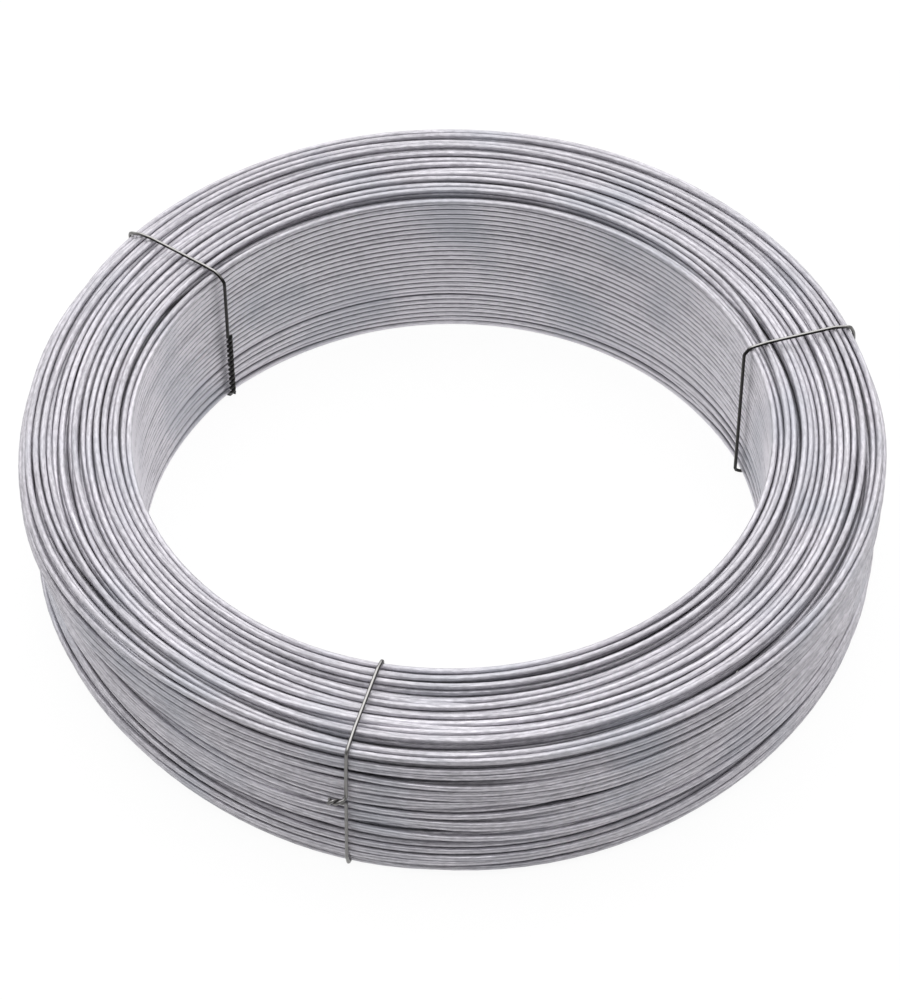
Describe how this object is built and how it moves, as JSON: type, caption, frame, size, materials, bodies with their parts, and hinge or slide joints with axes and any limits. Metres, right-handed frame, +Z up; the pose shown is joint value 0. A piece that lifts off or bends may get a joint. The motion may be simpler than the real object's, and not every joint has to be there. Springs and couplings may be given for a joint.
{
  "type": "coil of galvanised steel wire",
  "caption": "Flat-lying coil of zinc-coated steel wire with a wide round bore, its turns showing on every face, held together by thin dark tie wires twisted at their ends.",
  "frame": {"origin": "on the floor, at the middle of the bore", "axes": "+Z up along the bore, -Y towards the viewer of the picture"},
  "size_m": [0.3868, 0.3868, 0.0827],
  "materials": {
    "zinc_wire": "dull hot-dip zinc, faintly streaked along the wire",
    "tie_wire": "black annealed iron wire, lightly oiled"
  },
  "bodies": {
    "root": {"wire_coil": "zinc_wire", "tie_wire_front": "tie_wire", "tie_wire_left": "tie_wire", "tie_wire_right": "tie_wire"}
  },
  "joints": []
}
